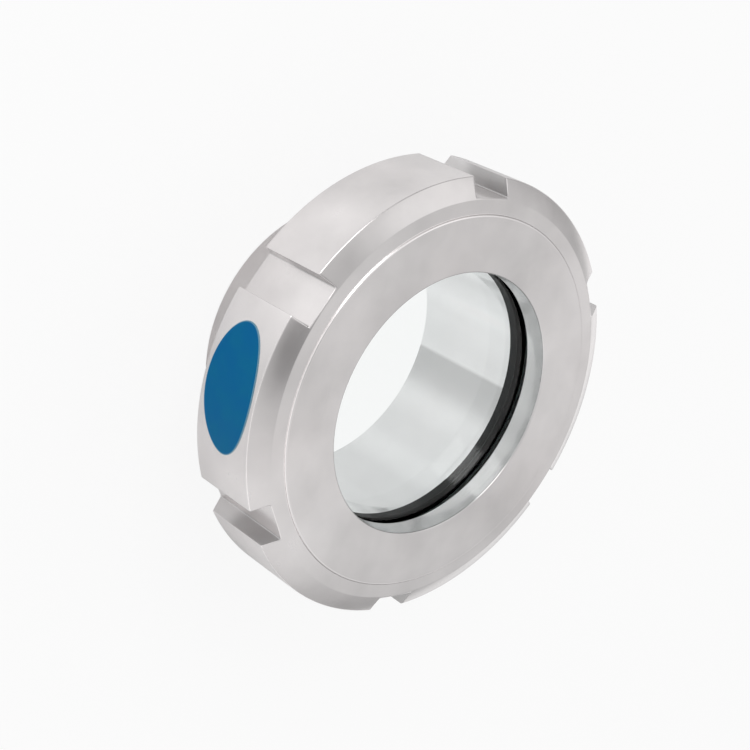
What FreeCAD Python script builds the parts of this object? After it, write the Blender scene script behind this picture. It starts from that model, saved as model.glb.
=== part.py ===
"""Union sight glass, nominal bore 65: a window for a dairy or process line.

A slotted round nut clamps a toughened glass disc, between two gaskets, into the
recess of a threaded body. The body's plain end is welded to the tube or vessel.

The axis is +Z. The weld end stands on Z = 0 and the window looks up. Sizes are
millimetres. Each piece is drawn about the axis, up from its own lowest face, and
its placement lifts it to the seat that carries it. The round thread is left
plain: the body is turned to its crests and the nut to its roots.
"""

import FreeCAD, Part
import math
import os

import Sketcher

SHEET = "Sizes"

SIZES = (
    # name, value, what it is
    ("overall_length", 47.5, "weld end to the nut's raised front face"),
    ("nut_diameter", 112, "across the nut's rim"),
    ("nut_height", 25, "nut's back face to its raised front face"),
    ("nut_wall", 8.5, "nut's rim to the crests of the body's thread"),
    ("rim_chamfer_width", 5, "chamfers at both ends of the rim, measured across"),
    ("pad_margin", 3.5, "front chamfer to the raised ring, measured across"),
    ("pad_rise", 0.5, "height of the raised ring above the front face"),
    ("front_chamfer_height", 2.5, "the front chamfer, measured along the axis"),
    ("back_chamfer_height", 3, "the back chamfer, measured along the axis"),
    ("lip_cover", 4, "glass behind the lip, from its rim to the sight opening"),
    ("opening_edge", 0.4, "chamfer on both edges of the sight opening"),
    ("lip_thickness", 6, "lip that holds the glass"),
    ("slot_count", 6, "slots for a hook spanner"),
    ("slot_width", 10.5, "across one slot"),
    ("slot_depth", 4.6, "rim to the slot's flat floor"),
    ("slot_corner_radius", 0.8, "rounding between the slot's floor and walls"),
    ("thread_depth", 2.12, "round thread, crest to root, and its lead chamfers"),
    ("thread_length", 20.9, "threaded stretch of the body"),
    ("thread_clearance", 0.21, "crests of the body's thread to the roots in the nut"),
    ("relief_width", 3, "thread relief behind the nut's lip"),
    ("relief_depth", 0.5, "relief beyond the thread in the nut"),
    ("entry_chamfer", 0.8, "at the nut's open end"),
    ("glass_diameter", 75, "toughened glass disc"),
    ("glass_thickness", 6, "toughened glass disc"),
    ("glass_edge", 0.5, "ground chamfer on the glass"),
    ("front_gasket_thickness", 1, "gasket between the lip and the glass"),
    ("front_gasket_width", 2.2, "its radial width, hidden behind the lip"),
    ("rear_gasket_thickness", 2.5, "gasket between the glass and the body"),
    ("seat_clearance", 0.25, "radial gap round the glass and the gaskets"),
    ("rim_gap", 0.6, "body's front rim to the nut's lip"),
    ("seat_width", 3.5, "rear gasket's width, from the glass's rim to the bore"),
    ("weld_wall", 2, "tube wall at the weld end"),
    ("neck_depth", 0.9, "neck behind the thread, below the thread's root"),
    ("neck_slope", 45, "cone from the neck to the weld end, in degrees"),
    ("neck_radius", 4, "rounding where the cone meets the weld end"),
    ("label_length", 31.5, "oval label, measured round the rim"),
    ("label_width", 16.5, "oval label, measured along the axis"),
    ("label_thickness", 0.2, "oval label"),
    ("label_height", 35, "centre of the label above the weld end"),
    ("label_tilt", 1.5, "lean of the label, in degrees"),
    ("label_angle", -93, "direction of the label about the axis, in degrees"),
)


def size(name):
    """A size of the sheet, as it is written in an expression."""
    return f"{SHEET}.{name}"


def half(name):
    """Half of a size of the sheet, such as the radius of a diameter."""
    return f"({SHEET}.{name} / 2)"


# Levels above the weld end, from the window down
LIP_SEAT = f"({size('overall_length')} - {size('lip_thickness')})"
GLASS_TOP = f"({LIP_SEAT} - {size('front_gasket_thickness')})"
GLASS_SEAT = f"({GLASS_TOP} - {size('glass_thickness')})"
RECESS_FLOOR = f"({GLASS_SEAT} - {size('rear_gasket_thickness')})"
BODY_RIM = f"({LIP_SEAT} - {size('rim_gap')})"
THREAD_FOOT = f"({BODY_RIM} - {size('thread_length')})"
NUT_BACK = f"({size('overall_length')} - {size('nut_height')})"

# Radii, from the nut's rim in to the thread and from the glass in to the bore
RIM = half("nut_diameter")
CREST = f"({RIM} - {size('nut_wall')})"
GLASS_RIM = half("glass_diameter")
BORE = f"({GLASS_RIM} - {size('seat_width')})"


def add_sheet(doc):
    """The driving sizes, one named cell each."""
    sheet = doc.addObject("Spreadsheet::Sheet", SHEET)
    for row, (name, value, meaning) in enumerate(SIZES, start=1):
        sheet.set(f"A{row}", str(value))
        sheet.setAlias(f"A{row}", name)
        sheet.set(f"B{row}", meaning)
    doc.recompute()


def value_of(holder, expression):
    """The number that an expression gives now."""
    result = holder.evalExpression(expression)
    return float(getattr(result, "Value", result))


def add_sketch(body, name, role):
    """A sketch on one of the body's own origin planes."""
    sketch = body.newObject("Sketcher::SketchObject", name)
    plane = next(item for item in body.Origin.OriginFeatures if item.Role == role)
    sketch.AttachmentSupport = [(plane, "")]
    sketch.MapMode = "FlatFace"
    return sketch


def tie(sketch, name, expression, kind, *where):
    """A dimension that follows the sheet."""
    value = value_of(sketch, expression)
    index = sketch.addConstraint(Sketcher.Constraint(kind, *where, value))
    sketch.renameConstraint(index, name)
    sketch.setExpression(f"Constraints.{name}", expression)


def place_point(sketch, name, across, up, geometry, end):
    """Hold a point at its distances from the sketch's origin."""
    tie(sketch, f"{name}_across", across, "DistanceX", -1, 1, geometry, end)
    if up == "0":
        sketch.addConstraint(Sketcher.Constraint("PointOnObject", geometry, end, -1))
    else:
        tie(sketch, f"{name}_up", up, "DistanceY", -1, 1, geometry, end)


def rounding(before, corner, after, radius):
    """Start, middle and end of the arc that rounds a corner."""
    back = (before - corner).normalize()
    ahead = (after - corner).normalize()
    inward = (back + ahead).normalize()
    half_angle = back.getAngle(inward)
    reach = radius / math.tan(half_angle)
    middle = corner + inward * (radius / math.sin(half_angle) - radius)
    return corner + back * reach, middle, corner + ahead * reach


def draw_outline(sketch, corners):
    """A closed outline of straight stretches.

    A corner is (across, up), two expressions, or (across, up, radius) where the
    corner is rounded: the true corner then stays as a point that both stretches
    aim at.
    """
    count = len(corners)
    points = [
        FreeCAD.Vector(value_of(sketch, corner[0]), value_of(sketch, corner[1]), 0)
        for corner in corners
    ]
    arrive = list(points)
    leave = list(points)
    middles = {}
    for index, corner in enumerate(corners):
        if len(corner) == 3:
            around = points[index - 1], points[index], points[(index + 1) % count]
            arc = rounding(*around, value_of(sketch, corner[2]))
            arrive[index], middles[index], leave[index] = arc

    for index in range(count):
        line = Part.LineSegment(leave[index], arrive[(index + 1) % count])
        sketch.addGeometry(line, False)
    for index, corner in enumerate(corners):
        name = f"corner_{index}"
        line_in = (index - 1) % count
        if index not in middles:
            sketch.addConstraint(Sketcher.Constraint("Coincident", line_in, 2, index, 1))
            place_point(sketch, name, corner[0], corner[1], index, 1)
            continue
        arc = Part.Arc(arrive[index], middles[index], leave[index])
        bend = sketch.addGeometry(arc, False)
        starts_here = sketch.getPoint(bend, 1).distanceToPoint(arrive[index]) < 1e-6
        first, last = (1, 2) if starts_here else (2, 1)
        sketch.addConstraint(Sketcher.Constraint("Tangent", line_in, 2, bend, first))
        sketch.addConstraint(Sketcher.Constraint("Tangent", bend, last, index, 1))
        tie(sketch, f"{name}_radius", corner[2], "Radius", bend)
        apex = sketch.addGeometry(Part.Point(points[index]), True)
        sketch.addConstraint(Sketcher.Constraint("PointOnObject", apex, 1, line_in))
        sketch.addConstraint(Sketcher.Constraint("PointOnObject", apex, 1, index))
        place_point(sketch, name, corner[0], corner[1], apex, 1)


def draw_circle(sketch, name, radius):
    """A circle about the axis."""
    centre = FreeCAD.Vector(0, 0, 0)
    circle = Part.Circle(centre, FreeCAD.Vector(0, 0, 1), value_of(sketch, radius))
    index = sketch.addGeometry(circle, False)
    sketch.addConstraint(Sketcher.Constraint("Coincident", index, 3, -1, 1))
    tie(sketch, name, radius, "Radius", index)


def turn(body, name, corners):
    """A turned solid from the outline of its half section."""
    sketch = add_sketch(body, f"{name}_section", "XZ_Plane")
    draw_outline(sketch, corners)
    turned = body.newObject("PartDesign::Revolution", name)
    turned.Profile = sketch
    turned.ReferenceAxis = (sketch, ["V_Axis"])
    turned.Angle = 360
    body.Document.recompute()
    return turned


def circular_edges(shape, radius):
    """Names of the circular edges of that radius."""
    names = []
    for index, edge in enumerate(shape.Edges, start=1):
        if isinstance(edge.Curve, Part.Circle) and abs(edge.Curve.Radius - radius) < 1e-4:
            names.append(f"Edge{index}")
    return names


def require_cut(feature, before):
    """Stop where a cut has taken nothing away."""
    if feature.Shape.Volume > before.Shape.Volume - 1:
        raise RuntimeError(f"{feature.Label} cuts nothing")


def make_nut(doc):
    """The slotted round nut: rim, lip, sight opening and the bore of its thread."""
    body = doc.addObject("PartDesign::Body", "slotted_nut")
    front = size("nut_height")
    face = f"({front} - {size('pad_rise')})"
    face_edge = f"({RIM} - {size('rim_chamfer_width')})"
    opening = f"({GLASS_RIM} - {size('lip_cover')})"
    edge = size("opening_edge")
    pad = f"({face_edge} - {size('pad_margin')})"
    lip_back = f"({front} - {size('lip_thickness')})"
    thread = f"({CREST} + {size('thread_clearance')})"
    relief = f"({thread} + {size('relief_depth')})"
    relief_end = f"({lip_back} - {size('relief_width')})"
    blank = turn(body, "nut_blank", [
        (f"{thread} + {size('entry_chamfer')}", "0"),
        (face_edge, "0"),
        (RIM, size("back_chamfer_height")),
        (RIM, f"{face} - {size('front_chamfer_height')}"),
        (face_edge, face),
        (pad, face),
        (pad, front),
        (f"{opening} + {edge}", front),
        (opening, f"{front} - {edge}"),
        (opening, f"{lip_back} + {edge}"),
        (f"{opening} + {edge}", lip_back),
        (relief, lip_back),
        (relief, relief_end),
        (thread, relief_end),
        (thread, size("entry_chamfer")),
    ])

    sketch = add_sketch(body, "slot_section", "XY_Plane")
    floor = f"({RIM} - {size('slot_depth')})"
    beyond = f"({RIM} + {size('slot_depth')})"
    side = half("slot_width")
    corner_radius = size("slot_corner_radius")
    draw_outline(sketch, [
        (floor, f"-{side}", corner_radius),
        (beyond, f"-{side}"),
        (beyond, side),
        (floor, side, corner_radius),
    ])
    slot = body.newObject("PartDesign::Pocket", "slot")
    slot.Profile = sketch
    slot.Type = "ThroughAll"
    slot.Midplane = True
    doc.recompute()
    require_cut(slot, blank)

    slots = body.newObject("PartDesign::PolarPattern", "slots")
    slots.Originals = [slot]
    slots.Axis = (sketch, ["N_Axis"])
    slots.Angle = 360
    slots.setExpression("Occurrences", size("slot_count"))
    body.Tip = slots
    doc.recompute()
    require_cut(slots, slot)
    body.setExpression("Placement.Base.z", NUT_BACK)
    return body


def make_threaded_body(doc):
    """The body: recess for the glass, thread, cone and weld end."""
    body = doc.addObject("PartDesign::Body", "threaded_body")
    weld = f"({BORE} + {size('weld_wall')})"
    depth = size("thread_depth")
    root = f"({CREST} - {depth})"
    neck = f"({root} - {size('neck_depth')})"
    cone_foot = f"({THREAD_FOOT} - ({neck} - {weld}) * tan({size('neck_slope')}))"
    recess = f"({GLASS_RIM} + {size('seat_clearance')})"
    turn(body, "body_blank", [
        (BORE, "0"),
        (weld, "0"),
        (weld, cone_foot, size("neck_radius")),
        (neck, THREAD_FOOT),
        (root, THREAD_FOOT),
        (CREST, f"{THREAD_FOOT} + {depth}"),
        (CREST, f"{BODY_RIM} - {depth}"),
        (root, BODY_RIM),
        (recess, BODY_RIM),
        (recess, RECESS_FLOOR),
        (BORE, RECESS_FLOOR),
    ])
    return body


def make_gasket(doc, name, inner, thickness, seat):
    """A flat gasket as wide as the glass, on its seat."""
    body = doc.addObject("PartDesign::Body", name)
    sketch = add_sketch(body, f"{name}_section", "XY_Plane")
    draw_circle(sketch, "outer", GLASS_RIM)
    draw_circle(sketch, "inner", inner)
    ring = body.newObject("PartDesign::Pad", f"{name}_ring")
    ring.Profile = sketch
    ring.setExpression("Length", thickness)
    body.setExpression("Placement.Base.z", seat)
    doc.recompute()
    return body


def make_glass(doc):
    """The toughened glass disc, its two edges ground."""
    body = doc.addObject("PartDesign::Body", "glass_disc")
    sketch = add_sketch(body, "disc_section", "XY_Plane")
    draw_circle(sketch, "outer", GLASS_RIM)
    disc = body.newObject("PartDesign::Pad", "disc")
    disc.Profile = sketch
    disc.setExpression("Length", size("glass_thickness"))
    doc.recompute()

    ground = body.newObject("PartDesign::Chamfer", "ground_edges")
    ground.Base = (disc, circular_edges(disc.Shape, value_of(disc, GLASS_RIM)))
    ground.setExpression("Size", size("glass_edge"))
    doc.recompute()
    require_cut(ground, disc)
    body.setExpression("Placement.Base.z", GLASS_SEAT)
    return body


def make_label(doc):
    """The oval label: a thin skin on the rim, between two slots."""
    skin = f"({RIM} + {size('label_thickness')})"
    drums = {}
    for name, radius in (("label_back", RIM), ("label_front", skin)):
        drum = doc.addObject("Part::Cylinder", name)
        drum.setExpression("Radius", radius)
        drum.setExpression("Height", size("label_length"))
        drum.setExpression("Placement.Base.z", f"{size('label_height')} - {half('label_length')}")
        drums[name] = drum
    shell = doc.addObject("Part::Cut", "label_shell")
    shell.Base = drums["label_front"]
    shell.Tool = drums["label_back"]

    upright = FreeCAD.Vector(0, 0, 1)
    oval = doc.addObject("Part::Ellipse", "label_oval")
    oval.setExpression("MajorRadius", f"{RIM} * sin({half('label_length')} / {RIM} * 1 rad)")
    oval.setExpression("MinorRadius", half("label_width"))
    oval.Placement.Rotation = FreeCAD.Rotation(upright, 1)
    oval.setExpression("Placement.Rotation.Angle", size("label_tilt"))
    prism = doc.addObject("Part::Extrusion", "label_prism")
    prism.Base = oval
    prism.DirMode = "Custom"
    prism.Dir = upright
    prism.Solid = True
    prism.setExpression("LengthFwd", f"{skin} + {size('label_thickness')}")
    prism.Placement.Rotation = FreeCAD.Rotation(FreeCAD.Vector(1, 0, 0), 90)
    prism.setExpression("Placement.Base.z", size("label_height"))

    label = doc.addObject("Part::Common", "oval_label")
    label.Base = shell
    label.Tool = prism
    label.Placement.Rotation = FreeCAD.Rotation(upright, 1)
    label.setExpression("Placement.Rotation.Angle", f"{size('label_angle')} + 90")
    doc.recompute()
    return label


def check(doc, pieces):
    """Stop where an object has failed or a piece isn't one sound solid."""
    for item in doc.Objects:
        if "Invalid" in item.State or "Error" in item.State:
            raise RuntimeError(f"{item.Label} failed: {item.State}")
    for piece in pieces:
        shape = piece.Shape
        if shape.isNull() or not shape.isValid() or len(shape.Solids) != 1:
            raise RuntimeError(f"{piece.Label} is not one sound solid")


def main():
    doc = FreeCAD.newDocument("union_sight_glass")
    add_sheet(doc)
    front_bore = f"{GLASS_RIM} - {size('front_gasket_width')}"
    pieces = [
        make_threaded_body(doc),
        make_gasket(doc, "rear_gasket", BORE, size("rear_gasket_thickness"), RECESS_FLOOR),
        make_glass(doc),
        make_gasket(doc, "front_gasket", front_bore, size("front_gasket_thickness"), GLASS_TOP),
        make_nut(doc),
        make_label(doc),
    ]
    doc.recompute()
    check(doc, pieces)
    os.makedirs("parts", exist_ok=True)
    for piece in pieces:
        piece.Shape.exportStep(f"parts/{piece.Label}.step")
        box = piece.Shape.BoundBox
        print(f"{piece.Label}: {piece.Shape.Volume:.1f} mm3, Z {box.ZMin:.2f} to {box.ZMax:.2f}")


main()
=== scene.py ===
"""Looks of the union sight glass: turned and satin stainless steel round a glass disc.

The axis is +Z, the weld end stands on Z = 0 and the window looks up. The sizes of the
pieces are millimetres, as they are on a drawing; every mesh is made in metres.
"""

import math

import bmesh
import bpy
from mathutils import Euler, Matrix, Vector


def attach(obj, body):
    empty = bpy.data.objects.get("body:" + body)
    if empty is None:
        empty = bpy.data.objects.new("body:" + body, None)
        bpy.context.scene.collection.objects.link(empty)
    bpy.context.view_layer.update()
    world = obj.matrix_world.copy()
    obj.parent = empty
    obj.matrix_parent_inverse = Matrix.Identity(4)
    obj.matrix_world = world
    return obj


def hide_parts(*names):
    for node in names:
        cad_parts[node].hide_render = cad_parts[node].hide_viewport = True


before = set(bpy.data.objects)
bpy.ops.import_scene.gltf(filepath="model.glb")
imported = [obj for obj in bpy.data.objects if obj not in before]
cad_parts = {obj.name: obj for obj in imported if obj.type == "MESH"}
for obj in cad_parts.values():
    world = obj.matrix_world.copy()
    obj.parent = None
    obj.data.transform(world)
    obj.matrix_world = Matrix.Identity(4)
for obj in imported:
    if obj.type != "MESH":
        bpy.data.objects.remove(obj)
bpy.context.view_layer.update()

MM = 0.001

# Nut
NUT_BACK = 22.5
NUT_FRONT = 47.5
NUT_RADIUS = 56.0
NUT_FACE_EDGE = 51.0
FRONT_CHAMFER = 2.5
BACK_CHAMFER = 3.0
PAD_RADIUS = 47.5
PAD_RISE = 0.5
OPENING_RADIUS = 33.5
LIP_SEAT = 41.5
NUT_BORE = 47.71
THREAD_LEAD_IN = 0.8
RELIEF_RADIUS = 48.21
RELIEF_FOOT = 38.5
NUT_SIDES = 240

# Roundings of the nut's turned corners
LEAD_IN_ROUNDING = 0.15
BACK_FACE_ROUNDING = 0.4
CHAMFER_ROUNDING = 0.5
PAD_FOOT_ROUNDING = 0.14
PAD_EDGE_ROUNDING = 0.48
OPENING_ROUNDING = 0.45
LIP_SEAT_ROUNDING = 0.4

# Slots, the prisms that cut them, and the edges that are broken afterwards
SLOTS = 6
SLOT_FLOOR = 51.4
SLOT_WIDTH = 10.5
SLOT_CORNER = 0.35
SLOT_CORNER_STEPS = 5
CUTTER_REACH = 60.0
CUTTER_MARGIN = 2.0
BROKEN_EDGE = 0.22
BROKEN_EDGE_STEPS = 2
BROKEN_EDGE_ANGLE = math.radians(38)

# Where the lip's finish and the edge's finish with its painted highlight begin and end
LIP_FINISH_MARGIN = 0.1
PAD_EDGE_MARGIN = 0.52
PAD_EDGE_START = 0.002

# Threaded body
BORE_RADIUS = 34.0
WELD_RADIUS = 36.0
NECK_RADIUS = 44.48
BODY_RIM = 40.9
RECESS_RADIUS = 37.75
RECESS_FLOOR = 32.0
CONE_FOOT = 11.52
CONE_ROUNDING = 4.0
BORE_ROUNDING = 0.15
WELD_END_ROUNDING = 0.2
BODY_RIM_ROUNDING = 0.3
BODY_SEAT_ROUNDING = 0.1
BORE_FINISH_MARGIN = 0.2
BODY_SIDES = 192

# Round thread, 6 turns to the inch
THREAD_FOOT = 20.0
CREST_RADIUS = 47.5
THREAD_DEPTH = 2.12
THREAD_ROOT = CREST_RADIUS - THREAD_DEPTH
PITCH = 25.4 / 6
CREST_FULLNESS = 0.85
THREAD_ROWS = 84

# Glass: its rim is ground between these radii and outwards
GROUND_RIM_START = 36.9
GROUND_RIM_FULL = 37.05

# Label
LABEL_RADIUS = 56.2
LABEL_HALF_LENGTH = 15.75
LABEL_HALF_WIDTH = 8.25
LABEL_HEIGHT = 35.0
LABEL_TILT = math.radians(1.5)
LABEL_DIRECTION = math.radians(-93)

# Faces that meet at less than this angle, in degrees, are shaded smooth
NUT_SMOOTHING = 24
BODY_SMOOTHING = 32
NODE_SMOOTHING = 30

# Rounded corners turn by about this many degrees from one short run to the next
ROUNDING_STEP = 18

# Places nearer to each other than this count as the same
SAME_PLACE = 0.01

# Places in the nut's and in the body's list of finishes
FACE_FINISH, SLOT_FINISH, LIP_FINISH, EDGE_FINISH = range(4)
TURNED_FINISH, BORE_FINISH = range(2)

# Turn and stretch of the noise that makes the two slanting sets of handling marks
MARKS = (
    ((0.3, 0.5, 0.9), (30.0, 900.0, 900.0)),
    ((1.1, -0.4, 2.2), (24.0, 1100.0, 1100.0)),
)

MARK_THRESHOLDS = (0.70, 0.80)

# Lathe rings: height counts a little less than radius, so that a 45 degree cone has them too
RING_RISE = 0.83
RING_WANDER = 0.35

# Directions round the axis of one painted sheen quarter, and of the painted dark reflection band
# in the bore
PAINTED_SHEEN_QUARTER = math.radians(105)
PAINTED_DARK_BAND_SOFT_SIDE = (math.radians(64), math.radians(84))
PAINTED_DARK_BAND_CRISP_SIDE = (math.radians(85), math.radians(87))
PAINTED_BAND_SWING = 0.6

# Heights between which painted shade darkens a slot's walls towards the front
PAINTED_SLOT_SHADE_START = 29.5
PAINTED_SLOT_SHADE_FULL = 34.5

# Steel's specks, and how far its grey turns warm or cool
SPECK_SHARE = 0.12
TINT_SWING = 1.2
GREEN_SHIFT = -0.022
BLUE_SHIFT = -0.024

# How strongly mottling, rings and marks tell on steel's colour, roughness and height
MOTTLING_ON_COLOR = 0.50
MARKS_ON_COLOR = 0.06
MOTTLING_ON_ROUGHNESS = 0.14
RINGS_ON_ROUGHNESS = 0.10
MARKS_ON_ROUGHNESS = 0.12
MARKS_ON_HEIGHT = 0.5

# Glass: polished faces and ground rim
GLASS_INDEX = 1.52
POLISHED_TINT = (0.985, 1.0, 0.996)
GROUND_TINT = (0.62, 0.84, 0.80)
GROUND_ROUGHNESS = 0.35
GROUND_ROUGHNESS_SWING = 0.35
GROUND_BUMP = 0.25

# Rubber: the darkest and the palest colour of each gasket, and its gloss and grain
REAR_RUBBER = ((0.007, 0.010, 0.010), (0.014, 0.018, 0.018))
FRONT_RUBBER = ((0.030, 0.048, 0.054), (0.046, 0.068, 0.074))
RUBBER_GLOSS = 0.10
RUBBER_ROUGHNESS = (0.42, 0.58)
RUBBER_BUMP = 0.4
BLOOM_RANGE = (0.35, 0.7)

# Label film: its two blues, and its cut edge as shares of the way out from the middle
FILM_BLUES = ((0.0006, 0.122, 0.306), (0.0018, 0.136, 0.292))
FILM_CUT_EDGE = (0.17, 0.33, 0.43)
FILM_CUT_EDGE_SHARES = (0.975, 0.992)
FILM_GLOSS = 0.05
FILM_ROUGHNESS = (0.32, 0.42)

# Most of a cloudy noise lies between these
NOISE_RANGE = (0.3, 0.7)

# Depths of the surfaces' fine relief
STEEL_RELIEF = 0.02
GLASS_RELIEF = 0.05
RUBBER_RELIEF = 0.03

# Sockets of a Mix node that is set to colours
MIX_SHARE = 0
MIX_FIRST_COLOR = 6
MIX_SECOND_COLOR = 7
MIX_RESULT = 2

# Floor, in metres, and how much of its white shows to the camera and through glass
FLOOR_RADIUS = 3.0
FLOOR_SIDES = 64
FLOOR_HEIGHT = -0.05 * MM
FLOOR_WHITE_SEEN = 0.86
FLOOR_WHITE_THROUGH_GLASS = 0.94
FLOOR_PAINT = (0.90, 0.90, 0.90, 1.0)
PLAIN_WHITE = (1.0, 1.0, 1.0, 1.0)

# How white the floor looks in metal, with painted light on one side and inside the bore. Each ramp
# is a start and an end, in metres, and how white it is at the two; the first goes towards the
# painted lit side, the others out from the axis.
FLOOR_PAINTED_LIGHT_SIDE = (-0.906, -0.423, 0.0)
FLOOR_PAINTED_LIGHT_SIDE_RAMP = (0.02, 0.10, 0.0, 0.98)
FLOOR_PAINTED_LIGHT_IN_BORE_RAMP = (0.0342, 0.0358, 0.72, 0.0)
FLOOR_FAR_OFF_RAMP = (0.16, 0.26, 0.0, 1.0)

# How white the room looks to the camera, behind the floor's far edge
ROOM_WHITE_SEEN = 0.966

# Azimuth and elevation, in degrees, of the room's darkest and of its brighter part
DARK_PATCH = (-90, 82)
BRIGHT_QUARTER = (137, 48)

# How bright the room is. Each ramp is a start and an end, as heights in a room of radius 1
# or as the cosine of the angle to a direction, and the brightness at the two.
HORIZON_RAMP = (0.02, 0.56, 0.425, 0.735)
OVERHEAD_RAMP = (0.86, 0.97, 0.0, 0.147)
DARK_PATCH_RAMP = (0.971, 0.995, 0.0, 0.367)
BRIGHT_QUARTER_RAMP = (0.92, 0.99, 0.0, 0.147)

# A low bright strip: how it starts at its foot, ends at its top and ends towards +Y
STRIP_FOOT_RAMP = (0.14, 0.24, 0.0, 1.0)
STRIP_TOP_RAMP = (0.36, 0.50, 1.0, 0.0)
STRIP_SIDE_RAMP = (-0.25, -0.02, 0.83, 0.0)

# What the lamps look at, in metres
LAMP_TARGET = Vector((0, 0, 0.035))

# Camera, in metres and degrees; its lens and sensor are millimetres
CAMERA_PLACE = (-0.1180651, -0.2685757, 0.2902938)
CAMERA_TURN = (-28.513, -39.9856, 106.1435)
CAMERA_LENS = 76.53
CAMERA_SENSOR = 36.0
CAMERA_NEAREST = 0.02
CAMERA_FARTHEST = 20.0


# Meshes

def rounded(outline):
    """Corner list of (radius, height) or (radius, height, rounding), rounded with short runs."""
    points = []
    count = len(outline)
    for i, corner in enumerate(outline):
        here = Vector(corner[:2])
        if len(corner) == 2:
            points.append(here)
            continue
        rounding = corner[2]
        before = (Vector(outline[i - 1][:2]) - here).normalized()
        after = (Vector(outline[(i + 1) % count][:2]) - here).normalized()
        half_angle = before.angle(after) / 2
        reach = rounding / math.tan(half_angle)
        centre = here + (before + after).normalized() * rounding / math.sin(half_angle)
        first = here + before * reach - centre
        turn = first.angle_signed(here + after * reach - centre)
        steps = max(2, round(abs(math.degrees(turn)) / ROUNDING_STEP))
        for k in range(steps + 1):
            angle = -turn * k / steps
            cos, sin = math.cos(angle), math.sin(angle)
            points.append(centre + Vector((first.x * cos - first.y * sin,
                                           first.x * sin + first.y * cos)))
    return points


def write_mesh(work, mesh):
    """Write the edited faces into a mesh, all facing outwards."""
    bmesh.ops.recalc_face_normals(work, faces=work.faces)
    work.to_mesh(mesh)
    work.free()


def ring_mesh(name, outline, sides, radius_at=None):
    """A closed ring turned from its half section. radius_at may shift a radius by angle."""
    points = rounded(outline)
    rows = len(points)
    verts = []
    for side in range(sides):
        angle = 2 * math.pi * side / sides
        for point in points:
            radius = radius_at(point.x, point.y, angle) if radius_at else point.x
            verts.append((radius * math.cos(angle) * MM, radius * math.sin(angle) * MM,
                          point.y * MM))
    faces = []
    for side in range(sides):
        a, b = side * rows, (side + 1) % sides * rows
        for row in range(rows):
            above = (row + 1) % rows
            faces.append((a + row, b + row, b + above, a + above))
    mesh = bpy.data.meshes.new(name)
    mesh.from_pydata(verts, [], faces)
    mesh.update()
    work = bmesh.new()
    work.from_mesh(mesh)
    write_mesh(work, mesh)
    return mesh


def smooth_by_angle(mesh, degrees):
    """Smooth faces that meet at less than this angle and keep the sharper edges crisp."""
    mesh.shade_smooth()
    mesh.set_sharp_from_angle(angle=math.radians(degrees))


def lies_within(mesh, face, radius):
    """Whether all of a face lies nearer to the axis than this radius."""
    return all(mesh.vertices[v].co.xy.length < radius * MM for v in face.vertices)


def slot_outline():
    """A slot seen from the front, as (outwards, sideways), with rounded inner corners."""
    half_width = SLOT_WIDTH / 2
    corner = []
    for k in range(SLOT_CORNER_STEPS + 1):
        angle = math.radians(90 * k / SLOT_CORNER_STEPS)
        corner.append((SLOT_FLOOR + SLOT_CORNER * (1 - math.sin(angle)),
                       half_width - SLOT_CORNER * (1 - math.cos(angle))))
    opposite_corner = [(outwards, -sideways) for outwards, sideways in corner]
    return [(CUTTER_REACH, -half_width), *opposite_corner, *reversed(corner),
            (CUTTER_REACH, half_width)]


def slot_cutter():
    """One mesh of six prisms, whose floors and walls carry their own finishes."""
    outline = slot_outline()
    count = len(outline)
    work = bmesh.new()
    for index in range(SLOTS):
        angle = 2 * math.pi * index / SLOTS
        cos, sin = math.cos(angle), math.sin(angle)
        rims = []
        for height in (NUT_BACK - CUTTER_MARGIN, NUT_FRONT + CUTTER_MARGIN):
            rims.append([work.verts.new(((x * cos - y * sin) * MM, (x * sin + y * cos) * MM,
                                         height * MM)) for x, y in outline])
        back, front = rims
        work.faces.new(back[::-1])
        work.faces.new(front)
        for k in range(count):
            n = (k + 1) % count
            side = work.faces.new((back[k], back[n], front[n], front[k]))
            on_floor = max(outline[k][0], outline[n][0]) < SLOT_FLOOR + SAME_PLACE
            side.material_index = FACE_FINISH if on_floor else SLOT_FINISH
    mesh = bpy.data.meshes.new("slot_cutter")
    write_mesh(work, mesh)
    return mesh


def turned_nut():
    """The nut as it leaves the lathe, before its slots are cut."""
    face = NUT_FRONT - PAD_RISE
    return ring_mesh("slotted_nut_turned", [
        (NUT_BORE + THREAD_LEAD_IN, NUT_BACK, LEAD_IN_ROUNDING),
        (NUT_FACE_EDGE, NUT_BACK, BACK_FACE_ROUNDING),
        (NUT_RADIUS, NUT_BACK + BACK_CHAMFER, CHAMFER_ROUNDING),
        (NUT_RADIUS, face - FRONT_CHAMFER, CHAMFER_ROUNDING),
        (NUT_FACE_EDGE, face, CHAMFER_ROUNDING),
        (PAD_RADIUS, face, PAD_FOOT_ROUNDING),
        (PAD_RADIUS, NUT_FRONT, PAD_EDGE_ROUNDING),
        (OPENING_RADIUS, NUT_FRONT, OPENING_ROUNDING),
        (OPENING_RADIUS, LIP_SEAT, LIP_SEAT_ROUNDING),
        (RELIEF_RADIUS, LIP_SEAT),
        (RELIEF_RADIUS, RELIEF_FOOT),
        (NUT_BORE, RELIEF_FOOT),
        (NUT_BORE, NUT_BACK + THREAD_LEAD_IN, LEAD_IN_ROUNDING),
    ], NUT_SIDES)


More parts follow.
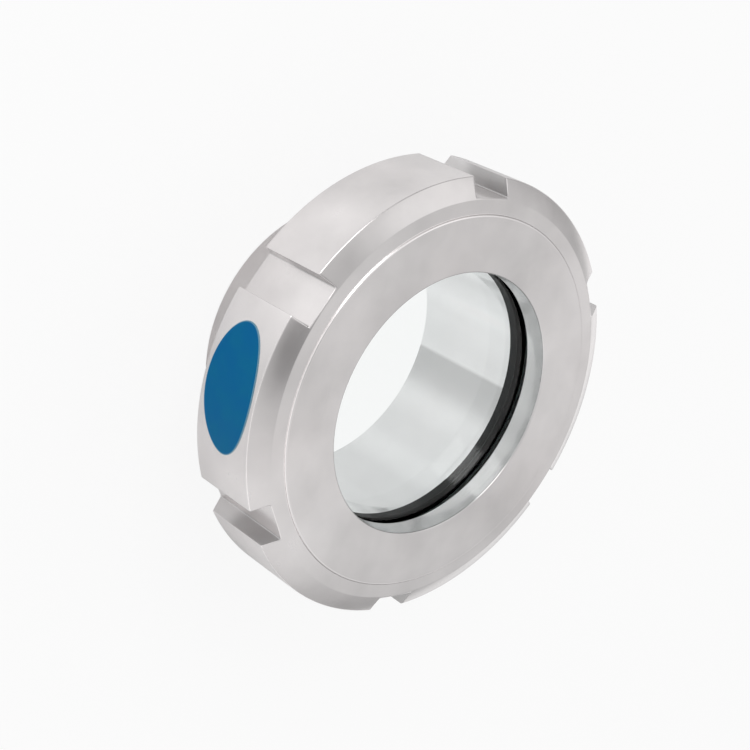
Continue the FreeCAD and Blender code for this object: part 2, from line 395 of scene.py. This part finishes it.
def cut_slots(turned, cutters, finishes):
    """Cut the slots into the turned nut and break the edges that this leaves sharp."""
    blank = bpy.data.objects.new("slotted_nut_blank", turned)
    cutter = bpy.data.objects.new("slot_cutter", cutters)
    for helper in (blank, cutter):
        for finish in finishes:
            helper.data.materials.append(finish)
        bpy.context.scene.collection.objects.link(helper)
    cut = blank.modifiers.new("slots", "BOOLEAN")
    cut.object = cutter
    cut.operation = "DIFFERENCE"
    cut.solver = "EXACT"
    edges = blank.modifiers.new("broken_edges", "BEVEL")
    edges.width = BROKEN_EDGE * MM
    edges.segments = BROKEN_EDGE_STEPS
    edges.limit_method = "ANGLE"
    edges.angle_limit = BROKEN_EDGE_ANGLE
    edges.use_clamp_overlap = False
    bpy.context.view_layer.update()
    depsgraph = bpy.context.evaluated_depsgraph_get()
    mesh = bpy.data.meshes.new_from_object(blank.evaluated_get(depsgraph))
    mesh.name = "slotted_nut_with_broken_edges"
    for helper in (blank, cutter):
        bpy.data.objects.remove(helper)
    return mesh


def nut_mesh(finishes):
    """The slotted round nut, its slots cut and every outer edge broken."""
    mesh = cut_slots(turned_nut(), slot_cutter(), finishes)
    for face in mesh.polygons:
        below_front = NUT_FRONT * MM - face.center.z
        from_pad_edge = abs(face.center.xy.length - PAD_RADIUS * MM)
        if lies_within(mesh, face, OPENING_RADIUS + LIP_FINISH_MARGIN):
            face.material_index = LIP_FINISH
        # the raised ring's edge takes the lighter steel of the painted highlight
        elif (from_pad_edge < PAD_EDGE_MARGIN * MM
              and PAD_EDGE_START * MM < below_front < PAD_RISE * MM):
            face.material_index = EDGE_FINISH
    smooth_by_angle(mesh, NUT_SMOOTHING)
    return mesh


def thread_radius(radius, height, angle):
    """Radius of the round thread's outer surface; other surfaces keep their own radius."""
    if radius < THREAD_ROOT - SAME_PLACE or not THREAD_FOOT <= height <= BODY_RIM:
        return radius
    turn = (height - THREAD_FOOT) / PITCH - angle / (2 * math.pi)
    wave = 0.5 + 0.5 * math.cos(2 * math.pi * turn)
    crest = CREST_RADIUS - THREAD_DEPTH * (1 - wave ** CREST_FULLNESS)
    # both ends of the thread start at its root
    from_end = min(height - THREAD_FOOT, BODY_RIM - height)
    return min(crest, THREAD_ROOT + from_end)


def body_mesh(finishes):
    """The body: bore, weld end, cone, round thread and the recess for the glass."""
    thread = [(CREST_RADIUS, THREAD_FOOT + (BODY_RIM - THREAD_FOOT) * k / THREAD_ROWS)
              for k in range(1, THREAD_ROWS)]
    mesh = ring_mesh("body_with_round_thread", [
        (BORE_RADIUS, 0, BORE_ROUNDING),
        (WELD_RADIUS, 0, WELD_END_ROUNDING),
        (WELD_RADIUS, CONE_FOOT, CONE_ROUNDING),
        (NECK_RADIUS, THREAD_FOOT),
        (THREAD_ROOT, THREAD_FOOT),
        *thread,
        (THREAD_ROOT, BODY_RIM),
        (RECESS_RADIUS, BODY_RIM, BODY_RIM_ROUNDING),
        (RECESS_RADIUS, RECESS_FLOOR),
        (BORE_RADIUS, RECESS_FLOOR, BODY_SEAT_ROUNDING),
    ], BODY_SIDES, thread_radius)
    for finish in finishes:
        mesh.materials.append(finish)
    for face in mesh.polygons:
        in_bore = lies_within(mesh, face, BORE_RADIUS + BORE_FINISH_MARGIN)
        face.material_index = BORE_FINISH if in_bore else TURNED_FINISH
    smooth_by_angle(mesh, BODY_SMOOTHING)
    return mesh


# Shader nodes

def add_node(tree, kind, **values):
    """A node of that kind; each value goes to the input of that name, or else to the setting."""
    node = tree.nodes.new(kind)
    for key, value in values.items():
        name = key.replace("_", " ")
        match = [socket for socket in node.inputs if socket.name.lower() == name.lower()]
        if match and not hasattr(node, key):
            match[0].default_value = value
        else:
            setattr(node, key, value)
    return node


def math_node(tree, operation, a, b=None, c=None, clamp=False):
    """A math node on sockets or plain numbers; gives back its result."""
    node = add_node(tree, "ShaderNodeMath", operation=operation, use_clamp=clamp)
    for index, value in enumerate((a, b, c)):
        if value is None:
            continue
        if isinstance(value, (int, float)):
            node.inputs[index].default_value = value
        else:
            tree.links.new(value, node.inputs[index])
    return node.outputs[0]


def plus(tree, a, b):
    """The sum of two values."""
    return math_node(tree, "ADD", a, b)


def minus(tree, a, b):
    """The first value less the second."""
    return math_node(tree, "SUBTRACT", a, b)


def times(tree, a, b):
    """The product of two values."""
    return math_node(tree, "MULTIPLY", a, b)


def larger(tree, a, b):
    """The larger of two values."""
    return math_node(tree, "MAXIMUM", a, b)


def ramp_between(tree, value, low, high, low_out=0.0, high_out=1.0):
    """Map a value from one range to another with soft ends."""
    node = add_node(tree, "ShaderNodeMapRange", interpolation_type="SMOOTHSTEP")
    tree.links.new(value, node.inputs["Value"])
    node.inputs["From Min"].default_value = low
    node.inputs["From Max"].default_value = high
    node.inputs["To Min"].default_value = low_out
    node.inputs["To Max"].default_value = high_out
    return node.outputs["Result"]


def place_of(tree, kind="Object"):
    """The shaded point's place, or in the world its direction, as one vector."""
    return add_node(tree, "ShaderNodeTexCoord").outputs[kind]


def axes_of(tree, place):
    """The x, y and z of a place."""
    axes = add_node(tree, "ShaderNodeSeparateXYZ")
    tree.links.new(place, axes.inputs[0])
    return axes.outputs


def distance(tree, a, b):
    """How far a point is from the middle, by its two coordinates."""
    return math_node(tree, "SQRT", plus(tree, times(tree, a, a), times(tree, b, b)))


def seen_turned(tree, a, b, angle):
    """A point's two coordinates along axes that are turned by an angle."""
    cos, sin = math.cos(angle), math.sin(angle)
    first = plus(tree, times(tree, a, cos), times(tree, b, sin))
    second = plus(tree, times(tree, a, -sin), times(tree, b, cos))
    return first, second


def along(tree, place, way):
    """How far a place lies along the way that a vector points."""
    dot = add_node(tree, "ShaderNodeVectorMath", operation="DOT_PRODUCT")
    tree.links.new(place, dot.inputs[0])
    dot.inputs[1].default_value = way
    return dot.outputs["Value"]


def noise(tree, place, scale, detail, roughness=0.5):
    """Cloudy noise, from 0 to 1."""
    clouds = add_node(tree, "ShaderNodeTexNoise", scale=scale, detail=detail,
                      roughness=roughness)
    tree.links.new(place, clouds.inputs["Vector"])
    return clouds.outputs["Fac"]


def round_zero(tree, share):
    """A value from 0 to 1, moved to swing round zero."""
    return minus(tree, share, 0.5)


def mixed_color(tree, share, first, second):
    """A colour between two others, which are plain colours or sockets."""
    mix = add_node(tree, "ShaderNodeMix", data_type="RGBA")
    tree.links.new(share, mix.inputs[MIX_SHARE])
    for index, color in ((MIX_FIRST_COLOR, first), (MIX_SECOND_COLOR, second)):
        if isinstance(color, tuple):
            mix.inputs[index].default_value = (*color, 1.0)
        else:
            tree.links.new(color, mix.inputs[index])
    return mix.outputs[MIX_RESULT]


def bumped(tree, height, strength, depth):
    """The surface's normal after a height has roughened it."""
    bump = add_node(tree, "ShaderNodeBump")
    bump.inputs["Strength"].default_value = strength
    bump.inputs["Distance"].default_value = depth
    tree.links.new(height, bump.inputs["Height"])
    return bump.outputs["Normal"]


def new_material(name):
    """An empty node material; gives it back with its tree and its output node."""
    material = bpy.data.materials.new(name)
    material.use_nodes = True
    tree = material.node_tree
    tree.nodes.clear()
    output = tree.nodes.new("ShaderNodeOutputMaterial")
    return material, tree, output


def connect(tree, shader, output, sources):
    """Link each source to the shader's input of that name, and the shader to the output."""
    for name, source in sources.items():
        tree.links.new(source, shader.inputs[name])
    tree.links.new(shader.outputs[0], output.inputs["Surface"])


# Surfaces that several materials share

def new_group(name, inputs, outputs):
    """A shader node group, its settings and its results; inputs are (name, default, low, high)."""
    group = bpy.data.node_groups.new(name, "ShaderNodeTree")
    for socket, default, low, high in inputs:
        made = group.interface.new_socket(name=socket, in_out="INPUT",
                                          socket_type="NodeSocketFloat")
        made.default_value, made.min_value, made.max_value = default, low, high
    for socket, kind in outputs:
        group.interface.new_socket(name=socket, in_out="OUTPUT", socket_type=kind)
    settings = group.nodes.new("NodeGroupInput").outputs
    results = group.nodes.new("NodeGroupOutput").inputs
    return group, settings, results


def lathe_rings(tree, place, radius, z, settings):
    """Height of the fine rings that the lathe leaves round the axis."""
    # millimetres of travel, which change along faces and along cylinders alike
    travel = times(tree, plus(tree, radius, times(tree, z, RING_RISE)), 1 / MM)
    drift = noise(tree, place, scale=90.0, detail=2.0)
    wander = times(tree, round_zero(tree, drift), RING_WANDER)
    rings = add_node(tree, "ShaderNodeTexNoise", noise_dimensions="1D", scale=1.0, detail=3.0,
                     roughness=0.65)
    tree.links.new(times(tree, plus(tree, travel, wander), settings["Rings per mm"]),
                   rings.inputs["W"])
    return times(tree, round_zero(tree, rings.outputs["Fac"]), settings["Ring Strength"])


def mottling(tree, place, settings):
    """Soft clouds with fine specks in them, some lighter and some darker."""
    clouds = round_zero(tree, noise(tree, place, scale=48.0, detail=2.0))
    specks = round_zero(tree, noise(tree, place, scale=420.0, detail=3.0, roughness=0.6))
    speckled = plus(tree, clouds, times(tree, specks, SPECK_SHARE))
    return times(tree, speckled, settings["Mottling"])


def painted_reflection_bands(tree, x, y, angle, settings):
    """Painted reflection bands: light and dark bands that run out from the axis on faces and
    lengthwise in bores.
    """
    outward = add_node(tree, "ShaderNodeCombineXYZ")
    tree.links.new(x, outward.inputs["X"])
    tree.links.new(y, outward.inputs["Y"])
    spoke = add_node(tree, "ShaderNodeVectorMath", operation="NORMALIZE")
    tree.links.new(outward.outputs[0], spoke.inputs[0])
    waves = noise(tree, spoke.outputs[0], scale=2.6, detail=1.0)
    soft = times(tree, round_zero(tree, waves), PAINTED_BAND_SWING)
    # one painted dark reflection band, with a soft side and a crisp side
    soft_side = ramp_between(tree, angle, *PAINTED_DARK_BAND_SOFT_SIDE)
    crisp_side = ramp_between(tree, angle, *PAINTED_DARK_BAND_CRISP_SIDE, 1.0, 0.0)
    dark = times(tree, times(tree, soft_side, crisp_side), settings["Painted Dark Band"])
    return times(tree, minus(tree, soft, dark), settings["Painted Reflection Bands"])


def painted_sheen_round_axis(tree, x, y, settings):
    """Painted sheen: turned surfaces are painted lighter in two opposite quarters, and get painted
    reflection bands.
    """
    angle = math_node(tree, "ARCTAN2", y, x)
    twice = times(tree, minus(tree, angle, PAINTED_SHEEN_QUARTER), 2.0)
    quarters = times(tree, math_node(tree, "COSINE", twice), settings["Painted Sheen Quarters"])
    return plus(tree, painted_reflection_bands(tree, x, y, angle, settings), quarters)


def handling_marks(tree, place, settings):
    """Thin marks: noise that is stretched in two slanting directions."""
    streaks = []
    for turn, stretch in MARKS:
        mapping = add_node(tree, "ShaderNodeMapping")
        mapping.inputs["Rotation"].default_value = turn
        mapping.inputs["Scale"].default_value = stretch
        tree.links.new(place, mapping.inputs["Vector"])
        stretched = noise(tree, mapping.outputs[0], scale=1.0, detail=1.0)
        streaks.append(ramp_between(tree, stretched, *MARK_THRESHOLDS))
    return times(tree, larger(tree, *streaks), settings["Marks"])


def steel_color(tree, place, level, settings):
    """A grey of that level, a little warmer or cooler from place to place."""
    tint = noise(tree, place, scale=31.0, detail=1.0)
    warmth = plus(tree, settings["Warmth"], times(tree, tint, TINT_SWING))
    color = add_node(tree, "ShaderNodeCombineColor")
    tree.links.new(level, color.inputs["Red"])
    for channel, shift in (("Green", GREEN_SHIFT), ("Blue", BLUE_SHIFT)):
        share = math_node(tree, "MULTIPLY_ADD", warmth, shift, 1.0)
        tree.links.new(times(tree, level, share), color.inputs[channel])
    return color.outputs[0]


def turned_steel_group():
    """Lathe rings round the axis, soft mottling, fine handling marks, and painted sheen,
    reflection bands and shade on stainless steel.
    """
    group, settings, results = new_group("turned_steel_surface", [
        ("Rings per mm", 5.0, 0.0, 20.0),
        ("Ring Strength", 0.5, 0.0, 1.0),
        ("Mottling", 0.5, 0.0, 1.0),
        ("Marks", 0.3, 0.0, 1.0),
        ("Painted Sheen Quarters", 0.05, 0.0, 1.0),
        ("Painted Reflection Bands", 0.0, 0.0, 1.0),
        ("Painted Dark Band", 0.0, 0.0, 1.0),
        ("Painted Front Shade", 0.0, 0.0, 1.0),
        ("Warmth", 1.0, -1.0, 2.0),
        ("Brightness", 0.7, 0.0, 1.0),
        ("Base Roughness", 0.3, 0.0, 1.0),
    ], [("Color", "NodeSocketColor"), ("Roughness", "NodeSocketFloat"),
        ("Height", "NodeSocketFloat")])
    place = place_of(group)
    x, y, z = axes_of(group, place)
    rings = lathe_rings(group, place, distance(group, x, y), z, settings)
    mottle = mottling(group, place, settings)
    marks = handling_marks(group, place, settings)
    # painted shade: a slot's walls are darker over their front two thirds
    painted_shade_in_front = ramp_between(group, z, PAINTED_SLOT_SHADE_START * MM, PAINTED_SLOT_SHADE_FULL * MM)
    unshaded = minus(group, 1.0, times(group, painted_shade_in_front, settings["Painted Front Shade"]))
    # painted sheen and painted reflection bands lighten and darken the grey
    sheen = plus(group, painted_sheen_round_axis(group, x, y, settings), 1.0)
    texture = minus(group, times(group, mottle, MOTTLING_ON_COLOR),
                    times(group, marks, MARKS_ON_COLOR))
    level = times(group, times(group, settings["Brightness"], unshaded),
                  plus(group, sheen, texture))
    ridges = plus(group, times(group, rings, RINGS_ON_ROUGHNESS),
                  times(group, marks, MARKS_ON_ROUGHNESS))
    unevenness = plus(group, times(group, mottle, MOTTLING_ON_ROUGHNESS), ridges)
    roughness = math_node(group, "ADD", settings["Base Roughness"], unevenness, clamp=True)
    height = minus(group, rings, times(group, marks, MARKS_ON_HEIGHT))
    group.links.new(steel_color(group, place, level, settings), results["Color"])
    group.links.new(roughness, results["Roughness"])
    group.links.new(height, results["Height"])
    return group


def rubber_group():
    """The faint grain of gasket rubber, and the share of bloom on it."""
    group, _, results = new_group("gasket_rubber_surface", [], [
        ("Bloom", "NodeSocketFloat"), ("Roughness", "NodeSocketFloat"),
        ("Height", "NodeSocketFloat")])
    place = place_of(group)
    grain = noise(group, place, scale=1500.0, detail=4.0, roughness=0.6)
    clouds = noise(group, place, scale=110.0, detail=3.0)
    roughness = ramp_between(group, grain, *NOISE_RANGE, *RUBBER_ROUGHNESS)
    group.links.new(ramp_between(group, clouds, *BLOOM_RANGE), results["Bloom"])
    group.links.new(roughness, results["Roughness"])
    group.links.new(grain, results["Height"])
    return group


# Materials

def steel_material(name, group, bump, settings):
    """Stainless steel whose surface comes from the shared group, with its own settings."""
    material, tree, output = new_material(name)
    surface = add_node(tree, "ShaderNodeGroup", node_tree=group)
    for socket, value in settings.items():
        surface.inputs[socket].default_value = value
    shader = add_node(tree, "ShaderNodeBsdfPrincipled", metallic=1.0)
    connect(tree, shader, output, {
        "Base Color": surface.outputs["Color"],
        "Roughness": surface.outputs["Roughness"],
        "Normal": bumped(tree, surface.outputs["Height"], bump, STEEL_RELIEF * MM)})
    return material


def satin_nut_steel(group):
    """The nut's outside and the slots' floors: satin, with soft clouds and a little painted sheen
    and reflection bands.
    """
    return steel_material("satin_nut_steel", group, bump=0.16, settings={
        "Rings per mm": 4.0, "Ring Strength": 0.3, "Mottling": 1.0, "Marks": 0.12,
        "Painted Sheen Quarters": 0.09, "Painted Reflection Bands": 0.22, "Brightness": 0.785, "Base Roughness": 0.24})


def milled_slot_steel(group):
    """The slots' walls: milled and rougher, with painted shade that darkens them towards the
    front.
    """
    return steel_material("milled_slot_steel", group, bump=0.3, settings={
        "Rings per mm": 1.5, "Ring Strength": 0.5, "Mottling": 0.6, "Marks": 0.4,
        "Painted Front Shade": 0.27, "Warmth": 0.4, "Brightness": 0.75, "Base Roughness": 0.34})


def turned_lip_steel_with_painted_shade(group):
    """The wall of the sight opening: finely turned; its darker grey is painted shade and its clear
    bands are painted reflection bands.
    """
    return steel_material("turned_lip_steel_with_painted_shade", group, bump=0.15, settings={
        "Rings per mm": 4.0, "Ring Strength": 0.3, "Mottling": 0.5, "Marks": 0.1,
        "Painted Sheen Quarters": 0.0, "Painted Reflection Bands": 0.9, "Warmth": -0.6, "Brightness": 0.555,
        "Base Roughness": 0.15})


def edge_steel_with_painted_highlight(group):
    """The raised ring's rounded edge: its own reflection, made brighter by a lighter copy of the
    steel as a painted highlight.
    """
    return steel_material("edge_steel_with_painted_highlight", group, bump=0.1, settings={
        "Rings per mm": 4.0, "Ring Strength": 0.2, "Mottling": 0.4, "Marks": 0.1,
        "Painted Sheen Quarters": 0.0, "Brightness": 0.94, "Base Roughness": 0.24})


def turned_body_steel(group):
    """The body outside its bore: plainly turned, with a little painted sheen and reflection bands.
    """
    return steel_material("turned_body_steel", group, bump=0.2, settings={
        "Rings per mm": 3.0, "Ring Strength": 0.4, "Mottling": 0.5, "Marks": 0.2,
        "Painted Sheen Quarters": 0.05, "Painted Reflection Bands": 0.3, "Brightness": 0.75, "Base Roughness": 0.20})


def polished_bore_steel(group):
    """The body's bore: polished, with painted lengthwise reflection bands and one painted dark
    band.
    """
    return steel_material("polished_bore_steel", group, bump=0.15, settings={
        "Rings per mm": 3.0, "Ring Strength": 0.4, "Mottling": 0.3, "Marks": 0.1,
        "Painted Sheen Quarters": 0.05, "Painted Reflection Bands": 1.0, "Painted Dark Band": 0.36, "Warmth": -1.0, "Brightness": 0.855,
        "Base Roughness": 0.09})


def glass_material():
    """Clear toughened glass: polished faces and a ground, faintly green rim."""
    material, tree, output = new_material("toughened_glass")
    place = place_of(tree)
    x, y, _ = axes_of(tree, place)
    ground = ramp_between(tree, distance(tree, x, y), GROUND_RIM_START * MM,
                          GROUND_RIM_FULL * MM)
    grain = noise(tree, place, scale=2600.0, detail=3.0)
    roughness = plus(tree, GROUND_ROUGHNESS, times(tree, grain, GROUND_ROUGHNESS_SWING))
    shader = add_node(tree, "ShaderNodeBsdfPrincipled", metallic=0.0, ior=GLASS_INDEX,
                      transmission_weight=1.0)
    connect(tree, shader, output, {
        "Base Color": mixed_color(tree, ground, POLISHED_TINT, GROUND_TINT),
        "Roughness": times(tree, ground, roughness),
        "Normal": bumped(tree, times(tree, grain, ground), GROUND_BUMP, GLASS_RELIEF * MM)})
    return material


def rubber_material(name, group, dark, pale):
    """Black gasket rubber with a faint grain and a little bloom."""
    material, tree, output = new_material(name)
    surface = add_node(tree, "ShaderNodeGroup", node_tree=group)
    shader = add_node(tree, "ShaderNodeBsdfPrincipled", metallic=0.0,
                      specular_ior_level=RUBBER_GLOSS)
    connect(tree, shader, output, {
        "Base Color": mixed_color(tree, surface.outputs["Bloom"], dark, pale),
        "Roughness": surface.outputs["Roughness"],
        "Normal": bumped(tree, surface.outputs["Height"], RUBBER_BUMP, RUBBER_RELIEF * MM)})
    return material


def label_reach(tree, place):
    """0 in the label's middle and 1 all along its oval edge."""
    x, y, z = axes_of(tree, place)
    outwards, sideways = seen_turned(tree, x, y, LABEL_DIRECTION)
    arc = times(tree, math_node(tree, "ARCTAN2", sideways, outwards), LABEL_RADIUS)
    rise = minus(tree, times(tree, z, 1 / MM), LABEL_HEIGHT)
    long_way, short_way = seen_turned(tree, arc, rise, LABEL_TILT)
    return distance(tree, math_node(tree, "DIVIDE", long_way, LABEL_HALF_LENGTH),
                    math_node(tree, "DIVIDE", short_way, LABEL_HALF_WIDTH))


def label_material():
    """Bare blue label film with a thin pale cut edge."""
    material, tree, output = new_material("blue_label_film")
    place = place_of(tree)
    clouds = noise(tree, place, scale=160.0, detail=4.0)
    film = mixed_color(tree, ramp_between(tree, clouds, *NOISE_RANGE), *FILM_BLUES)
    cut_edge = ramp_between(tree, label_reach(tree, place), *FILM_CUT_EDGE_SHARES)
    shader = add_node(tree, "ShaderNodeBsdfPrincipled", metallic=0.0,
                      specular_ior_level=FILM_GLOSS)
    connect(tree, shader, output, {
        "Base Color": mixed_color(tree, cut_edge, film, FILM_CUT_EDGE),
        "Roughness": ramp_between(tree, clouds, *NOISE_RANGE, *FILM_ROUGHNESS)})
    return material


# Pieces

def add_piece(name, mesh, replaced):
    """Put a mesh in the scene as a piece that rides on the one rigid body."""
    piece = bpy.data.objects.new(name, mesh)
    bpy.context.scene.collection.objects.link(piece)
    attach(piece, "root")
    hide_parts(replaced)


def dress_node(name, material):
    """Give a CAD node its material and smooth shading."""
    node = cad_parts[name]
    node.data.materials.clear()
    node.data.materials.append(material)
    smooth_by_angle(node.data, NODE_SMOOTHING)


def make_nut(steel):
    """The slotted nut, in four finishes."""
    finishes = (satin_nut_steel(steel), milled_slot_steel(steel), turned_lip_steel_with_painted_shade(steel),
                edge_steel_with_painted_highlight(steel))
    add_piece("nut_with_broken_edges", nut_mesh(finishes), "slotted_nut")


def make_body(steel):
    """The threaded body, in two finishes."""
    finishes = (turned_body_steel(steel), polished_bore_steel(steel))
    add_piece("body_with_round_thread", body_mesh(finishes), "threaded_body")


def dress_gaskets():
    """The rear gasket is a deep black, the front one a dark grey."""
    rubber = rubber_group()
    dress_node("rear_gasket", rubber_material("rear_gasket_rubber", rubber, *REAR_RUBBER))
    dress_node("front_gasket", rubber_material("front_gasket_rubber", rubber, *FRONT_RUBBER))


def make_pieces():
    """All six pieces: two get new meshes, the others keep their CAD shapes."""
    steel = turned_steel_group()
    make_nut(steel)
    make_body(steel)
    dress_node("glass_disc", glass_material())
    dress_gaskets()
    dress_node("oval_label", label_material())


# Floor, light and camera

def painted_floor_light_in_metal(tree):
    """Painted light on the floor, seen only in metal: how white it looks there, from place to
    place.
    """
    place = place_of(tree)
    length = add_node(tree, "ShaderNodeVectorMath", operation="LENGTH")
    tree.links.new(place, length.inputs[0])
    away = length.outputs["Value"]
    # painted light: brighter on one side outside the nut, and inside the bore where light through
    # the window would fall; white far off
    painted_lit_side = ramp_between(tree, along(tree, place, FLOOR_PAINTED_LIGHT_SIDE), *FLOOR_PAINTED_LIGHT_SIDE_RAMP)
    in_bore = ramp_between(tree, away, *FLOOR_PAINTED_LIGHT_IN_BORE_RAMP)
    far_off = ramp_between(tree, away, *FLOOR_FAR_OFF_RAMP)
    return larger(tree, larger(tree, painted_lit_side, in_bore), far_off)


def backdrop_share(tree):
    """How white the floor looks of itself: to the camera, through glass, and in metal with its
    painted light.
    """
    path = add_node(tree, "ShaderNodeLightPath").outputs
    seen = times(tree, path["Is Camera Ray"], FLOOR_WHITE_SEEN)
    through_glass = times(tree, path["Is Transmission Ray"], FLOOR_WHITE_THROUGH_GLASS)
    in_metal = times(tree, path["Is Glossy Ray"], painted_floor_light_in_metal(tree))
    return larger(tree, larger(tree, seen, through_glass), in_metal)


def floor_material():
    """White paint that keeps a shadow, blended with plain white."""
    material, tree, output = new_material("white_floor")
    paint = add_node(tree, "ShaderNodeBsdfDiffuse")
    paint.inputs["Color"].default_value = FLOOR_PAINT
    glow = add_node(tree, "ShaderNodeEmission", strength=1.0)
    glow.inputs["Color"].default_value = PLAIN_WHITE
    blend = add_node(tree, "ShaderNodeMixShader")
    tree.links.new(backdrop_share(tree), blend.inputs[0])
    tree.links.new(paint.outputs[0], blend.inputs[1])
    tree.links.new(glow.outputs[0], blend.inputs[2])
    tree.links.new(blend.outputs[0], output.inputs["Surface"])
    return material


def make_floor():
    """A plain white floor that keeps a soft shadow."""
    mesh = bpy.data.meshes.new("floor")
    work = bmesh.new()
    bmesh.ops.create_circle(work, cap_ends=True, segments=FLOOR_SIDES, radius=FLOOR_RADIUS)
    work.to_mesh(mesh)
    work.free()
    mesh.materials.append(floor_material())
    floor = bpy.data.objects.new("floor", mesh)
    floor.location.z = FLOOR_HEIGHT
    bpy.context.scene.collection.objects.link(floor)


def direction(azimuth, elevation):
    """The unit vector towards an azimuth and an elevation, in degrees."""
    a, e = math.radians(azimuth), math.radians(elevation)
    return Vector((math.cos(a) * math.cos(e), math.sin(a) * math.cos(e), math.sin(e)))


def room_level(tree):
    """How bright the room is in each direction, as the object sees it."""
    place = place_of(tree, "Generated")
    _, y, height = axes_of(tree, place)
    # weaker near the horizon and straight overhead
    level = ramp_between(tree, height, *HORIZON_RAMP)
    level = minus(tree, level, ramp_between(tree, height, *OVERHEAD_RAMP))
    # darkest a little in front of the point overhead
    towards_dark = along(tree, place, direction(*DARK_PATCH))
    level = minus(tree, level, ramp_between(tree, towards_dark, *DARK_PATCH_RAMP))
    # a brighter quarter behind the object
    towards_bright = along(tree, place, direction(*BRIGHT_QUARTER))
    level = plus(tree, level, ramp_between(tree, towards_bright, *BRIGHT_QUARTER_RAMP))
    # a low bright strip on the camera's side
    strip_foot = ramp_between(tree, height, *STRIP_FOOT_RAMP)
    strip_top = ramp_between(tree, height, *STRIP_TOP_RAMP)
    strip_side = ramp_between(tree, y, *STRIP_SIDE_RAMP)
    return plus(tree, times(tree, times(tree, strip_foot, strip_top), strip_side), level)


def make_world():
    """Soft light from all round, graded by direction, and plain white to the camera."""
    world = bpy.data.worlds.new("soft_studio")
    world.use_nodes = True
    bpy.context.scene.world = world
    tree = world.node_tree
    tree.nodes.clear()
    seen = add_node(tree, "ShaderNodeLightPath").outputs["Is Camera Ray"]
    level = plus(tree, times(tree, seen, ROOM_WHITE_SEEN),
                 times(tree, room_level(tree), minus(tree, 1.0, seen)))
    color = add_node(tree, "ShaderNodeCombineColor")
    for socket in color.inputs:
        tree.links.new(level, socket)
    light = add_node(tree, "ShaderNodeBackground", strength=1.0)
    output = add_node(tree, "ShaderNodeOutputWorld")
    tree.links.new(color.outputs[0], light.inputs["Color"])
    tree.links.new(light.outputs[0], output.inputs["Surface"])


def add_area_light(name, azimuth, elevation, away, size, power):
    """A square soft light that looks at the window; lengths are in metres."""
    data = bpy.data.lights.new(name, "AREA")
    data.shape = "SQUARE"
    data.size = size
    data.energy = power
    lamp = bpy.data.objects.new(name, data)
    towards = direction(azimuth, elevation)
    lamp.location = LAMP_TARGET + towards * away
    lamp.rotation_euler = (-towards).to_track_quat("-Z", "Y").to_euler()
    bpy.context.scene.collection.objects.link(lamp)


def make_camera():
    """The photograph's viewing angle, with its strong roll."""
    data = bpy.data.cameras.new("camera")
    data.sensor_width = CAMERA_SENSOR
    data.lens = CAMERA_LENS
    data.clip_start = CAMERA_NEAREST
    data.clip_end = CAMERA_FARTHEST
    camera = bpy.data.objects.new("camera", data)
    camera.location = CAMERA_PLACE
    camera.rotation_euler = Euler([math.radians(turn) for turn in CAMERA_TURN])
    bpy.context.scene.collection.objects.link(camera)
    bpy.context.scene.camera = camera


def main():
    """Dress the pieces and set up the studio."""
    bpy.context.scene.view_settings.view_transform = "Standard"
    make_pieces()
    make_floor()
    make_world()
    add_area_light("side_softbox", azimuth=138, elevation=48, away=1.2, size=0.6, power=0.25)
    add_area_light("low_softbox", azimuth=-150, elevation=35, away=0.8, size=0.4, power=1.2)
    make_camera()


main()
